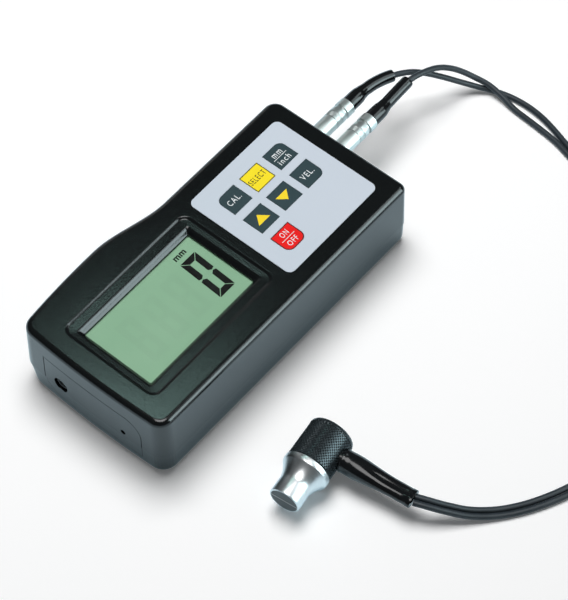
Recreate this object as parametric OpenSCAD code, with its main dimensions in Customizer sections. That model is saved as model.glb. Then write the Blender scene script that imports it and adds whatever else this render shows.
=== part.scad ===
// Hand-held ultrasonic thickness gauge with a dual-element probe on a twin lead.
// The gauge lies on its back: +Z is up, +Y runs from the display end to the connector end,
// and the origin is on the underside, in the middle of the case. Sizes are in millimetres.

/* [Case] */
// Length of the case from the display end to the connector end
case_len = 156; // [144:1:172]
// Width of the case beside the keypad
case_w = 73.8; // [70:0.2:84]
// Draw-in of the right wall towards the display end
right_taper = 1.5; // [0:0.25:1.75]
// Extra reach of the left wall beside the display
left_bulge = 6.2; // [4:0.2:10]
// Height of the case from the underside to the top face
case_h = 38.5; // [38:0.5:46]
// Height of the parting line between the covers
parting_h = 13; // [12:0.25:15]
// Wall of the covers
wall = 2.2; // [1.8:0.1:2.6]
// Thickness of the top face
top_t = 2.6; // [2.4:0.1:3]
// Thickness of the underside
bottom_t = 3.4; // [3:0.1:4]
// Radius of the upright corners at the display end
near_corner_r = 6.5; // [5.5:0.5:9]
// Radius of the upright corner at the connector end, on the left
far_left_r = 6; // [5:0.25:8]
// Radius of the upright corner at the connector end, on the right
far_right_r = 3.5; // [3:0.25:6]
// Radius of the edge round the top face
top_edge_r = 2.8; // [2:0.2:3.4]
// Radius of the edge round the underside
bottom_edge_r = 4; // [2.5:0.25:4.5]
// Outward bow of the display end
end_bow = 1; // [0:0.25:1.5]

/* [Display] */
// Width of the seen display, as a share of the case
lcd_w_share = 0.488; // [0.45:0.002:0.5]
// Length of the seen display, as a share of the case
lcd_share = 0.407; // [0.38:0.001:0.411]
// Offset of the display from the centre line
lcd_x = -1.2; // [-2:0.2:0]
// Place of the middle of the display from the display end, as a share of the case
lcd_place = 0.3055; // [0.302:0.0005:0.308]
// Width and depth of the bevel round the display
bevel = 2.2; // [1.6:0.1:2.4]
// Depth of the shallow dish round the bevel
dish_t = 1.2; // [0.6:0.1:1.4]

/* [Keypad] */
// Width of the keypad film, as a share of the case
film_w_share = 0.7534; // [0.74:0.0002:0.78]
// Length of the keypad film, as a share of the case
film_share = 0.368; // [0.36:0.001:0.376]
// Place of the middle of the film from the connector end, as a share of the case
film_place = 0.241; // [0.238:0.0005:0.243]
// Width of a key, as a share of the film
key_w_share = 0.1906; // [0.18:0.0002:0.2]
// Length of a key, as a share of the film
key_share = 0.195; // [0.185:0.005:0.215]
// Spacing of the keys across the case, as a share of the film
key_row_share = 0.2662; // [0.26:0.0002:0.27]
// Spacing of the keys along the case, as a share of the film
key_step_share = 0.2615; // [0.255:0.0005:0.27]
// Travel of a key
key_travel = 0.4; // [0.2:0.05:0.5]

/* [Connectors] */
// Spacing of the two coaxial sockets
socket_pitch = 12.6; // [12:0.2:14]
// Place of the middle of the two sockets, from the centre line
socket_mid_x = -8.7; // [-10:0.1:-7]
// Diameter of the plug's release sleeve
sleeve_d = 8; // [7.6:0.1:8.2]
// Travel of the plug's release sleeve
sleeve_travel = 1; // [0.6:0.1:1.2]

/* [Batteries] */
// Diameter of a cell
cell_d = 10.5; // [10:0.1:10.8]
// Length of a cell with its nub
cell_l = 44.5; // [43:0.25:45]

/* [Probe] */
// Diameter of the knurled cap
cap_d = 20.2; // [19.4:0.1:20.6]
// Length of the knurled cap
cap_l = 19.5; // [18:0.5:24]
// Length of the steel nose below the cap
nose_l = 17.5; // [15:0.5:22]
// Diameter of the nose at the contact face
face_d = 13.75; // [12:0.25:14]
// Length of the cord sleeve from the probe's axis
probe_boot_l = 43; // [38:1:43]
// Diameter of one cord of the lead
cord_d = 2.7; // [2.4:0.1:3]

/* [Hidden] */
$fn = 48;

// Ends of the case, and its reach past a cut that goes right through
near_y = -case_len / 2;
far_y = case_len / 2;
through = 20;
// Reach of the right wall at the connector end and of the left wall beside the keypad
right_reach = case_w / 2 + 0.1;
left_reach = case_w / 2 - 0.1;
// Sizes and places that follow the width and the length of the case
lcd_w = lcd_w_share * case_w;
film_w = film_w_share * case_w;
key_w = key_w_share * film_w;
key_pitch_x = key_row_share * film_w;
lcd_l = lcd_share * case_len;
lcd_mid_y = near_y + lcd_place * case_len;
film_l = film_share * case_len;
film_mid_y = far_y - film_place * case_len;
key_l = key_share * film_l;
key_pitch_y = key_step_share * film_l;
// Clearances: a slip fit per side, a snug seat per side, a running fit on a radius
slip = 0.2;
snug = 0.1;
run_fit = 0.05;
// Draft of the front cover down to the parting line, and the step of the rear cover there
front_draft = 0.8;
parting_step = 0.25;
// Inward lean of the left wall at the underside
left_lean = 3;
// Where the left wall starts to swell, where it is full, and its fall towards the display end
wave_start = film_mid_y - 0.59 * film_l;
wave_end = lcd_mid_y;
wave_fall = 0.45;
// Facets of the outline and of the rounded edges
corner_steps = 8;
side_steps = 24;
end_steps = 6;
edge_steps = 5;

// Keypad film, its recess and the keys behind it
film_t = 0.5;
film_seat = 0.4;
film_r = 3;
film_top = case_h - film_seat + film_t;
key_first = [key_w / 2 - 0.3525 * film_w, film_mid_y + key_l / 2 - 0.357 * film_l];
key_well_t = 0.8;
key_corner_r = 3.4;
key_post = [key_w, key_l] - [3.6, 3.6];
key_flange = [key_w - 1.6, key_l - 1.6, 1];
key_stem_d = 4;

// Board and what stands on it
board_top = case_h - 13;
board_t = 1.6;
board_bottom = board_top - board_t;
board_x = [4.8 - left_reach, right_reach - 5.5];
board_y = [near_y + 9, far_y - 12.5];
switch_size = [6, 6, 3.5];
switch_top = board_top + 5.5;
switch_stem_d = 3.5;
chip = [14, 14, 1.4];
chip_at = [2, far_y - 56];
chip_lead = [0.4, 1.8, 0.6];
chip_pitch = 1.1;
shield = [28, 16, 5];
shield_at = [socket_mid_x - shield.x / 2, far_y - 34];
shield_t = 0.4;
can_d = 8;
can_h = 9;
can_at = [[-12, -14], [0, -14]];

// Display stack below its window
window_t = 1;
window_ledge = 2.5;
window_size = [lcd_w + 2 * window_ledge, lcd_l + 2 * window_ledge];
window_top = case_h - dish_t - bevel;
frame_wall = 2.2;
surround_t = 1.5;
surround_bottom = window_top - surround_t;
glass_t = 2.2;
glass_bottom = window_top - window_t - glass_t;
zebra_w = 2;
dish_margin = [7.5, 6];
dish_r = 5;
dish_slope = 1.2;

// End panel, leaf shaped, with the socket hole and the pinhole
panel_w = 0.7087 * case_w;
panel_top = case_h - 10.5;
panel_low = bottom_t + 2.6;
panel_h = panel_top - panel_low;
panel_mid = [-1.85, (panel_top + panel_low) / 2];
panel_r = 8.5;
panel_lip = 1.5;
panel_lip_t = 1;
panel_back = near_y + wall + end_bow + 0.1;
jack_at = [-19, case_h - 22];
jack_nose_d = 6;
jack_bore_d = 3.6;
jack_bore_l = 14;
jack_size = [9, 12, 9];
pinhole_at = [15, case_h - 22.5];
pinhole_d = 2.5;

// Case screws and board screws
screw_d = 2.9;
screw_head_d = 5.5;
screw_head_t = 2.4;
screw_seat = parting_h - 5;
screw_reach = 9;
post_d = 6.6;
case_screw_at = [[right_reach - 7.5, far_y - 8.5], [7.3 - left_reach, far_y - 8.5],
    [3.8 - left_reach, near_y + 9], [right_reach - right_taper - 7, near_y + 8.5]];
board_screw_d = 2;
board_post_d = 5.2;
board_screw_at = [[7.8 - left_reach, near_y + 18], [right_reach - 10.5, near_y + 18],
    [7.8 - left_reach, far_y - 18], [right_reach - 9, far_y - 18]];

// Battery bay, its door and the contacts
cell_pitch = cell_d + 0.3;
cell_nub = [3.8, 1];
cell_count = 4;
spring_l = 6.5;
plate_t = 0.5;
plate_w = cell_d - 0.9;
bay_wall = 1.5;
bay_w = cell_count * cell_pitch + 1.2;
bay_l = cell_l + spring_l + 2 * plate_t;
bay_y = far_y - 73.5;
door_t = 1.8;
door_w = bay_w + 5.2;
door_y = bay_y - 2.5;
door_runner = [1, 0.8];
bay_roof = door_t + 2 * slip + cell_d + 0.6;
cell_z = door_t + slip + cell_d / 2;
door_grip = [20, 1.2, 0.5];

// Coaxial sockets and plugs: distances along +Y from the wall of the case
axis_z = case_h - 12.5;
socket_face = far_y + front_draft;
socket_d = 7;
socket_flange = [8.4, 2];
socket_bore_d = 5.1;
socket_back = socket_face - 13;
socket_nut = [10, 2];
pin_d = 1;
plug_nose_d = socket_bore_d - 2 * run_fit;
plug_nose_l = 9.5;
plug_core_d = 6.6;
sleeve_wall = sleeve_d / 2 - plug_core_d / 2 - run_fit;
sleeve_start = socket_face + socket_flange[1] + 0.4;
sleeve_l = 15.8;
ring_start = sleeve_start + sleeve_l + sleeve_travel + slip;
ring_l = 4.1;
plug_end = ring_start + ring_l;
plug_stub = [5.6, 6];
boot_r = sleeve_d / 2 - 0.3;
boot_tail_r = 2.85;

// Probe: it lies on the floor, its axis turned a little from the case
probe_at = [80.6, -41.2];
probe_turn = 7;
band_d = cap_d + 0.5;
band_l = 2.5;
nose_wall = 0.7;
spigot_l = 6;
spigot_d = cap_d - 3.8;
barrier_t = 0.5;
delay_l = 12.5;
crystal_t = 0.8;
probe_boot_at = 11;
probe_boot_d = 10.4;
probe_boot_tip = [2 * cord_d + 2.8, cord_d + 2.8];
probe_boot_neck_d = 8.6;

// The twin lead: routes of the two cords, chosen points from the plugs to the coil,
// and the route of the pair from the coil to the probe
coil_at = [142, 110];
coil_lanes = 4;
coil_r = 10.5;
tie_t = 0.6;
tie_w = 4;
tie_angle = 230;
boot_transmit_bend = [[-14.7, 114, 26], [-14, 119, 25.7], [-12.8, 124, 25.2], [-11, 129, 24.5]];
boot_receive_bend = [[-2.6, 114, 26.1], [-2.8, 121.5, 26.3], [-3, 129.5, 26.4]];
transmit_start = [[-11, 129, 24.5], [-8.5, 134, 23.6], [-5.5, 139, 21.8], [-1.5, 144.5, 18.3],
    [3, 150.5, 13.5], [7.5, 156.5, 8.2], [13, 162, 4], [20, 166.5, 1.9], [28, 168.8, 1.4],
    [36, 169.3, 1.4], [44, 168.5, 1.4], [52, 166.5, 1.4], [60, 163.8, 1.4]];
receive_start = [[-3, 129.5, 26.4], [-1.8, 135, 26.3], [-0.5, 141, 24.9], [0.8, 147, 22.2], [3, 153, 18],
    [6, 158.5, 12.8], [10.5, 162.8, 8], [17, 165.3, 5.2], [24.5, 165.3, 3.2], [32.5, 164, 1.6],
    [41, 163.2, 1.4], [50, 162.3, 1.4], [58.5, 161, 1.4]];
pair_out = [[69, 159.5, 1.4], [80, 156.5, 1.4], [92, 153, 1.4], [104, 149, 1.4], [116, 144.5, 1.4],
    [128, 139.3, 1.4], [140, 133, 1.6], [152.5, 125.3, 2]];
pair_in = [[160, 114.7, 10], [162.7, 106, 8.9], [165.2, 97, 6.4], [167.3, 88, 3.8], [169.2, 78, 1.8],
    [170.4, 67, 1.4], [171, 56, 1.4], [170.5, 45, 1.4], [168.8, 34, 1.4], [165.5, 23.5, 1.4],
    [161, 13.5, 1.4], [155.5, 4, 1.4], [148.8, -4.7, 1.8], [141.1, -12.5, 3.7], [133.1, -18.7, 7.2],
    [127.6, -22.3, 9.5], [121.94, -25.04, 10.35]];

// Unit vector, direction along a route, and a smooth step from 0 to 1
function unit(v) = v / norm(v);
function along(path, i) = unit(path[min(i + 1, len(path) - 1)] - path[max(i - 1, 0)]);
function smooth(t) = t * t * (3 - 2 * t);
function arc(centre, r, from) = [for (i = [0:corner_steps])
    let (a = from + 90 * i / corner_steps) centre + r * [cos(a), sin(a)]];

// Plan outline of the case: a straight right wall and a left wall that swells beside the display
function wave(y) = y > wave_start ? 0
    : y > wave_end ? smooth((wave_start - y) / (wave_start - wave_end))
    : 1 - wave_fall * pow((wave_end - y) / (wave_end - near_y), 2);
function left_x(y) = -left_reach - left_bulge * wave(y);
function right_x(y) = right_reach - right_taper * (far_y - y) / case_len;
function near_edge(t) = near_y + end_bow * pow(2 * t - 1, 2);
function outline(inset, lean = 0) =
    let (near_c = near_y + end_bow + near_corner_r,
        far_c = far_y - far_left_r,
        left_c = left_x(near_c) + near_corner_r,
        right_c = right_x(near_c) - near_corner_r,
        right_r = max(far_right_r, inset + 0.4),
        plan = concat(
            arc([right_c, near_c], near_corner_r - inset, -90),
            arc([right_x(far_y) - right_r, far_y - right_r], right_r - inset, 0),
            arc([far_left_r - left_reach, far_c], far_left_r - inset, 90),
            [for (i = [1:side_steps - 1]) let (y = far_c + (near_c - far_c) * i / side_steps)
                [left_x(y) + inset, y]],
            arc([left_c, near_c], near_corner_r - inset, 180),
            [for (i = [1:end_steps - 1]) let (t = i / end_steps)
                [left_c + (right_c - left_c) * t, near_edge(t) + inset]]))
    [for (p = plan) [p.x - lean * min(0, p.x) / left_reach, p.y]];
function level(inset, z, lean = 0) = [for (p = outline(inset, lean)) [p.x, p.y, z]];
function lean_at(z) = left_lean * (1 - z / parting_h);
function rounded(size, r, z) = let (c = size / 2 - [r, r]) [for (p = concat(
    arc([c.x, -c.y], r, -90), arc([c.x, c.y], r, 0), arc([-c.x, c.y], r, 90), arc([-c.x, -c.y], r, 180)))
    [p.x, p.y, z]];
function leaf(w, h, r) = concat([[w / 2, -h / 2]], arc([w / 2 - r, h / 2 - r], r, 0),
    [[-w / 2, h / 2]], arc([-w / 2 + r, -h / 2 + r], r, 180));

// Closed skin over a stack of rings with equal counts of points
module loft(rings) {
    n = len(rings[0]);
    last = len(rings) - 1;
    walls = [for (k = [0:last - 1], i = [0:n - 1]) let (j = (i + 1) % n)
        each [[k * n + i, (k + 1) * n + i, (k + 1) * n + j], [k * n + i, (k + 1) * n + j, k * n + j]]];
    ends = [[for (i = [0:n - 1]) i], [for (i = [n - 1:-1:0]) last * n + i]];
    polyhedron([for (ring = rings) each ring], concat(walls, ends));
}

// Tube along a route, with one ring of the given radius at each point
function ring_at(p, dir, r, sides) = let (side = unit(cross(dir, [0, 0, 1])), up = cross(dir, side))
    [for (i = [0:sides - 1]) let (a = 360 * i / sides) p + r * (cos(a) * side + sin(a) * up)];
module tube(path, radii, sides) {
    loft([for (i = [0:len(path) - 1]) ring_at(path[i], along(path, i), radii[i], sides)]);
}
module cord(path) {
    color("#22272b") tube(path, [for (p = path) cord_d / 2], 8);
}

// Route beside the pair's own route, to the left of its run
function beside(path, offset) = [for (i = [0:len(path) - 1])
    let (dir = along(path, i)) path[i] + offset * unit([-dir.y, dir.x, 0])];

// Rod along +Y, from one place to another
module rod_y(d, from, to) {
    translate([0, from, 0]) rotate([-90, 0, 0]) cylinder(d = d, h = to - from);
}
module block(low, high) {
    translate(low) cube(high - low);
}
module rounded_plate(size, r, low, high) {
    translate([0, 0, low]) linear_extrude(high - low) polygon([for (p = rounded(size, r, 0)) [p.x, p.y]]);
}

// Outer form of the two covers
module front_form() {
    loft(concat([level(-front_draft, parting_h)], [for (i = [0:edge_steps]) let (a = 90 * i / edge_steps)
        level(top_edge_r * (1 - cos(a)), case_h - top_edge_r * (1 - sin(a)))]));
}
module rear_form() {
    side = parting_step - front_draft;
    loft(concat([for (i = [edge_steps:-1:0]) let (a = 90 * i / edge_steps, z = bottom_edge_r * (1 - sin(a)))
        level(side + bottom_edge_r * (1 - cos(a)), z, lean_at(z))], [level(side, parting_h)]));
}
module at_display() {
    translate([lcd_x, lcd_mid_y, 0]) children();
}
module at_film() {
    translate([0, film_mid_y, 0]) children();
}
module at_keys() {
    for (key = KEYS)
        at_key(key) children();
}

// Keys: column along the case, row across it, and the rounded corners of each
KEYS = [[0, 0, [180]], [1, 0, []], [2, 0, [90]], [0, 1, []], [1, 1, []], [2, 1, [0]], [0, 2, [0, 270]]];
module at_key(key) {
    translate([key_first.x + key[1] * key_pitch_x, key_first.y + key[0] * key_pitch_y, 0]) children();
}
module key_outline(corners, grow) {
    size = [key_w + 2 * grow, key_l + 2 * grow];
    difference() {
        square(size, center = true);
        for (corner = corners) {
            quarter = corner % 180 == 0 ? size / 2 : [size.y, size.x] / 2;
            rotate(corner) translate(quarter - [key_corner_r, key_corner_r]) difference() {
                square(key_corner_r + 1);
                circle(key_corner_r);
            }
        }
    }
}

// Holes for the end panel, its socket and its pinhole, cut along Y
module panel_prism(grow, from, to) {
    translate([panel_mid.x, to, panel_mid.y]) rotate([90, 0, 0]) linear_extrude(to - from)
        polygon(leaf(panel_w + 2 * grow, panel_h + 2 * grow, panel_r + grow));
}

// Front cover: top face with the display surround, the keypad seat and the screw posts
module front_cover() color("#1d2022") difference() {
    union() {
        difference() {
            front_form();
            loft([level(wall - front_draft, parting_h - 1), level(wall + 0.3, case_h - top_t)]);
        }
        at_display()
            rounded_plate(window_size + 2 * [frame_wall, frame_wall], 2, surround_bottom, case_h - 2);
        for (p = case_screw_at)
            translate([p.x, p.y, parting_h]) cylinder(d = post_d, h = case_h - 2 - parting_h);
        for (p = board_screw_at)
            translate([p.x, p.y, board_top]) cylinder(d = board_post_d, h = case_h - 2 - board_top);
    }
    at_display() {
        size = [lcd_w, lcd_l];
        bevel_size = size + 2 * [bevel, bevel];
        dish_size = size + 2 * dish_margin;
        loft([rounded(size, 0.6, surround_bottom - 1), rounded(size, 0.6, window_top),
            rounded(bevel_size, 1.2, case_h - dish_t),
            rounded(dish_size - 2 * [dish_slope, dish_slope], dish_r - dish_slope, case_h - dish_t * 0.7),
            rounded(dish_size, dish_r, case_h), rounded(dish_size + [2, 2], dish_r + 1, case_h + 1)]);
        rounded_plate(window_size + 2 * [snug, snug], 1, surround_bottom - 1, window_top);
    }
    at_film()
        rounded_plate([film_w, film_l] + 2 * [snug, snug], film_r + snug, case_h - film_seat, case_h + 1);
    at_keys() {
        well = [key_w, key_l] + 2 * [snug + slip, snug + slip];
        rounded_plate(well, 0.5, case_h - film_seat - key_well_t, case_h);
        rounded_plate(key_post + 2 * [slip, slip], 0.5, case_h - top_t - 1, case_h);
    }
    for (p = case_screw_at)
        translate([p.x, p.y, parting_h - 1]) cylinder(d = screw_d + 2 * run_fit, h = screw_reach + 2);
    for (p = board_screw_at)
        translate([p.x, p.y, board_top - 1]) cylinder(d = board_screw_d + 2 * run_fit, h = 7);
    for (x = SOCKET_X)
        translate([x, 0, axis_z]) rod_y(socket_d + 2 * snug, far_y - through, far_y + through);
    panel_prism(0.15, near_y - through, panel_back);
}

// Rear cover: the tray below the parting line, with the battery bay, the door's track and the screw tubes
module rear_cover() color("#1a1d1f") difference() {
    union() {
        difference() {
            rear_form();
            loft([level(wall - front_draft + 3, bottom_t, lean_at(bottom_t)),
                level(wall - front_draft, bottom_t + 3, lean_at(bottom_t + 3)),
                level(wall - front_draft, parting_h + 1)]);
        }
        block([-bay_w / 2 - bay_wall, bay_y - bay_wall, 1],
            [bay_w / 2 + bay_wall, bay_y + bay_l + bay_wall, bay_roof + bay_wall]);
        for (p = case_screw_at)
            translate([p.x, p.y, 1]) cylinder(d = post_d + 1.8, h = parting_h - 1);
    }
    block([-bay_w / 2, bay_y, -1], [bay_w / 2, bay_y + bay_l, bay_roof]);
    door_track(slip);
    for (p = case_screw_at)
        translate([p.x, p.y, -1]) {
            cylinder(d = screw_head_d + 0.6, h = screw_seat + 1);
            cylinder(d = screw_d + 0.6, h = parting_h + 3);
        }
    panel_prism(0.15, near_y - through, panel_back);
}

// Space of the battery door and its two runners, open at the connector end
module door_track(grow) {
    block([-door_w / 2 - grow, door_y - grow, -1], [door_w / 2 + grow, far_y + through, door_t + grow]);
    reach = door_w / 2 + door_runner[0] + grow;
    block([-reach, door_y - grow, door_t - door_runner[1] - grow], [reach, far_y + through, door_t + grow]);
}

// Battery door: it slides off past the connector end
module battery_door() color("#1a1d1f") difference() {
    intersection() {
        rear_form();
        difference() {
            door_track(0);
            block([-right_reach * 2, far_y - 1.2, -2], [right_reach * 2, far_y + through * 2, door_t + 2]);
        }
    }
    for (i = [0:4])
        translate([-door_grip[0] / 2, bay_y + bay_l - 10 + 2.6 * i, -1])
            cube([door_grip[0], door_grip[1], 1 + door_grip[2]]);
}

// Leaf-shaped end panel, trapped between the covers
module end_panel() color("#1b1e20") difference() {
    union() {
        intersection() {
            union() {
                front_form();
                rear_form();
            }
            panel_prism(0, near_y - through, panel_back + snug);
        }
        panel_prism(panel_lip, panel_back + snug, panel_back + snug + panel_lip_t);
    }
    translate([jack_at.x, 0, jack_at.y]) rod_y(jack_nose_d + 1.4, near_y - through, near_y + through);
    translate([pinhole_at.x, 0, pinhole_at.y]) rod_y(pinhole_d, near_y - through, near_y + through);
}

// Countersunk-deep case screws, driven from the underside
module case_screws() color("#8d9196") for (p = case_screw_at) translate([p.x, p.y, screw_seat]) difference() {
    union() {
        translate([0, 0, -screw_head_t]) cylinder(d = screw_head_d, h = screw_head_t);
        cylinder(d = screw_d, h = parting_h - screw_seat + screw_reach);
    }
    for (turn = [0, 90])
        rotate(turn) translate([-1.6, -0.4, -screw_head_t - 1]) cube([3.2, 0.8, 2.2]);
}

// Printed film over the keypad, with one window for each key
module keypad_film() color("#cbd5e0") difference() {
    at_film() rounded_plate([film_w, film_l], film_r, case_h - film_seat, film_top);
    for (key = KEYS)
        at_key(key) translate([0, 0, case_h - 1]) linear_extrude(film_t + 2) key_outline(key[2], snug);
}

// Key: flat field in the film's window, a guide post, a stop flange and a stem above its switch
module key(i, shade) color(shade) at_key(KEYS[i]) {
    translate([0, 0, case_h - film_seat]) linear_extrude(film_t) key_outline(KEYS[i][2], 0);
    stop = case_h - top_t;
    rounded_plate(key_post, 0.4, stop - 0.1, case_h - film_seat);
    rounded_plate([key_flange.x, key_flange.y], 0.6, stop - key_flange.z, stop);
    stem_end = switch_top + key_travel + 0.1;
    translate([0, 0, stem_end]) cylinder(d = key_stem_d, h = stop - key_flange.z - stem_end);
}
module key_cal() key(0, "#2f4246");
module key_select() key(1, "#ffda1e");
module key_unit() key(2, "#2f4246");
module key_up() key(3, "#2f4246");
module key_down() key(4, "#2f4246");
module key_velocity() key(5, "#2f4246");
module key_power() key(6, "#ee1414");

// Push switches on the board, one below each key
module key_switches() color("#3a3d40") at_keys() {
    translate([-switch_size.x / 2, -switch_size.y / 2, board_top]) cube(switch_size);
    translate([0, 0, board_top + switch_size.z - 0.1])
        cylinder(d = switch_stem_d, h = switch_top - board_top - switch_size.z + 0.1);
}

// Clear window, liquid-crystal glass and the frame that holds the glass over the board
module lcd_window() color("#dfe8e2", 0.4) at_display()
    rounded_plate(window_size, 0.9, window_top - window_t, window_top);
module lcd_glass() color("#8ab791") at_display()
    rounded_plate(window_size - [0.4, 0.4], 0.5, glass_bottom, window_top - window_t);
module lcd_frame() color("#d8d8d2") at_display() difference() {
    rounded_plate(window_size + 2 * [frame_wall, frame_wall], 2, board_top, surround_bottom);
    rounded_plate(window_size, 0.5, glass_bottom, case_h);
    inner = window_size - [0, 6];
    rounded_plate(inner, 0.5, board_top - 1, case_h);
}
module zebra_strips() color("#b98a8a") at_display() for (side = [-1, 1])
    translate([side * (window_size.x / 2 - 1.6) - zebra_w / 2, 4 - window_size.y / 2, board_top])
        cube([zebra_w, window_size.y - 8, glass_bottom - board_top]);

// Main board with its screw holes and the clearance for the case posts
module main_board() color("#1e5b34") difference() {
    block([board_x[0], board_y[0], board_bottom], [board_x[1], board_y[1], board_top]);
    for (p = board_screw_at)
        translate([p.x, p.y, board_bottom - 1]) cylinder(d = board_screw_d + 0.4, h = board_t + 2);
    for (p = case_screw_at)
        translate([p.x, p.y, board_bottom - 1]) cylinder(d = post_d + 1.6, h = board_t + 2);
}
module board_screws() color("#a9adb2") for (p = board_screw_at) translate([p.x, p.y, board_bottom]) {
    translate([0, 0, -1.6]) cylinder(d = 4, h = 1.6);
    cylinder(d = board_screw_d, h = board_t + 5);
}
module processor_chip() color("#26282a") translate([chip_at.x, chip_at.y, board_bottom]) {
    block([-chip.x / 2, -chip.y / 2, -chip.z - 0.2], [chip.x / 2, chip.y / 2, -0.2]);
    for (turn = [0:90:270], i = [-5:5])
        rotate(turn)
            translate([i * chip_pitch - chip_lead.x / 2, chip.y / 2 - 0.4, -chip_lead.z]) cube(chip_lead);
}
module pulser_shield() color("#c3c7ca")
    translate([shield_at.x, shield_at.y, board_bottom - shield.z]) difference() {
        cube(shield);
        translate([shield_t, shield_t, shield_t]) cube(shield - [2 * shield_t, 2 * shield_t, 0]);
    }
module capacitors() color("#2b3a55") for (p = can_at)
    translate([p.x, p.y, board_bottom - can_h]) cylinder(d = can_d, h = can_h);

// Interface socket below the board, its nose in the end panel
module interface_jack() color("#2a2c2e") difference() {
    union() {
        translate([jack_at.x, 0, jack_at.y]) {
            rod_y(jack_nose_d, near_y + 0.6, panel_back + 3);
            block([-jack_size.x / 2, panel_back + 2.4, -jack_size.z / 2],
                [jack_size.x / 2, panel_back + 2.4 + jack_size.y, jack_size.z / 2]);
        }
        for (x = [-3, 3], y = [5, 12])
            translate([jack_at.x + x, panel_back + y, jack_at.y])
                cylinder(d = 1, h = board_bottom - jack_at.y);
    }
    translate([jack_at.x, 0, jack_at.y]) rod_y(jack_bore_d, near_y - 1, near_y + 0.6 + jack_bore_l);
}

// Cells side by side, turned end for end, with a spring and a plate at each end
function cell_x(i) = (i - (cell_count - 1) / 2) * cell_pitch;
module cell_frame(i) {
    flip = i % 2;
    start = bay_y + plate_t + flip * (bay_l - 2 * plate_t);
    translate([cell_x(i), start, cell_z]) mirror([0, flip, 0]) children();
}
module cell(i) color("#b58a3a") cell_frame(i) {
    rod_y(cell_d, spring_l, spring_l + cell_l - cell_nub[1]);
    rod_y(cell_nub[0], spring_l + cell_l - cell_nub[1] - 0.1, spring_l + cell_l);
}
module battery_cell_1() cell(0);
module battery_cell_2() cell(1);
module battery_cell_3() cell(2);
module battery_cell_4() cell(3);
module battery_springs() color("#b9bdc1") for (i = [0:cell_count - 1]) {
    wire = 0.35;
    turns = 3;
    per_turn = 10;
    path = [for (k = [0:turns * per_turn]) let (t = k / (turns * per_turn), a = 360 * turns * t)
        [(4.2 - 1.6 * t) * cos(a), wire + (spring_l - 2 * wire) * t, (4.2 - 1.6 * t) * sin(a)]];
    cell_frame(i) tube(path, [for (p = path) wire], 6);
}
module battery_plates() color("#cfd3d6") for (i = [0:cell_count - 1]) translate([cell_x(i), bay_y, cell_z])
    for (y = [0, bay_l - plate_t])
        translate([-plate_w / 2, y, -plate_w / 2]) cube([plate_w, plate_t, plate_w]);

// Coaxial sockets in the wall of the connector end
SOCKET_X = [socket_mid_x - socket_pitch / 2, socket_mid_x + socket_pitch / 2];
module socket(i) color("#c9ccd0") translate([SOCKET_X[i], 0, axis_z]) {
    difference() {
        union() {
            rod_y(socket_d, socket_back, socket_face + socket_flange[1]);
            rod_y(socket_flange[0], socket_face, socket_face + socket_flange[1]);
        }
        rod_y(socket_bore_d, socket_back + 1.5, socket_face + through);
    }
    rod_y(pin_d, socket_back - 4, socket_back + 6);
}
module socket_transmit() socket(0);
module socket_receive() socket(1);
module socket_nuts() color("#b4b8bc") for (x = SOCKET_X) translate([x, 0, axis_z]) difference() {
    from = far_y - wall - 0.4 - socket_nut[1];
    translate([0, from, 0]) rotate([-90, 30, 0]) cylinder(d = socket_nut[0], h = socket_nut[1], $fn = 6);
    rod_y(socket_d + 2 * run_fit, from - 1, from + socket_nut[1] + 1);
}

// Push-pull plug: nose, core and rear ring in one turned body
module plug(i) color("#d2d5d8") translate([SOCKET_X[i], 0, axis_z]) difference() {
    union() {
        rod_y(plug_nose_d, socket_face + socket_flange[1] - plug_nose_l, sleeve_start);
        rod_y(plug_core_d, sleeve_start - 0.2, ring_start + 0.1);
        rod_y(sleeve_d + 0.2, ring_start, plug_end);
        rod_y(plug_stub[0], plug_end - 0.1, plug_end + plug_stub[1]);
    }
    rod_y(pin_d + 1, socket_face - through, sleeve_start + 4);
}
module plug_transmit() plug(0);
module plug_receive() plug(1);

// Release sleeve: fluted for the fingers, with two turned grooves
module sleeve(i) color("#dadde0") translate([SOCKET_X[i], 0, axis_z]) difference() {
    rod_y(sleeve_d, sleeve_start, sleeve_start + sleeve_l);
    rod_y(sleeve_d - 2 * sleeve_wall, sleeve_start - 1, sleeve_start + sleeve_l + 1);
    flutes = 12;
    flute = [0.8, 6.4, 0.6];
    for (k = [0:flutes - 1])
        rotate([0, 360 * k / flutes, 0])
            translate([-flute.x / 2, sleeve_start + 3.4, sleeve_d / 2 - 0.22]) cube(flute);
    for (y = [2.2, 11.6])
        difference() {
            rod_y(sleeve_d + 1, sleeve_start + y, sleeve_start + y + 0.7);
            rod_y(sleeve_d - 0.5, sleeve_start, sleeve_start + sleeve_l);
        }
}
module sleeve_transmit() sleeve(0);
module sleeve_receive() sleeve(1);

// Shrunk-on cord sleeves behind the plugs
module boot(i, bend) color("#121416") difference() {
    start = [SOCKET_X[i], plug_end, axis_z];
    path = concat([start, start + [0, 6, 0], start + [0, 9.4, 0]], bend);
    tube(path, concat([boot_r, boot_r, boot_r - 0.15], [for (p = bend) boot_tail_r]), 16);
    translate([start.x, 0, start.z])
        rod_y(plug_stub[0] + 2 * run_fit, plug_end - 1, plug_end + plug_stub[1] + 0.1);
}
module boot_transmit() boot(0, boot_transmit_bend);
module boot_receive() boot(1, boot_receive_bend);

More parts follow.
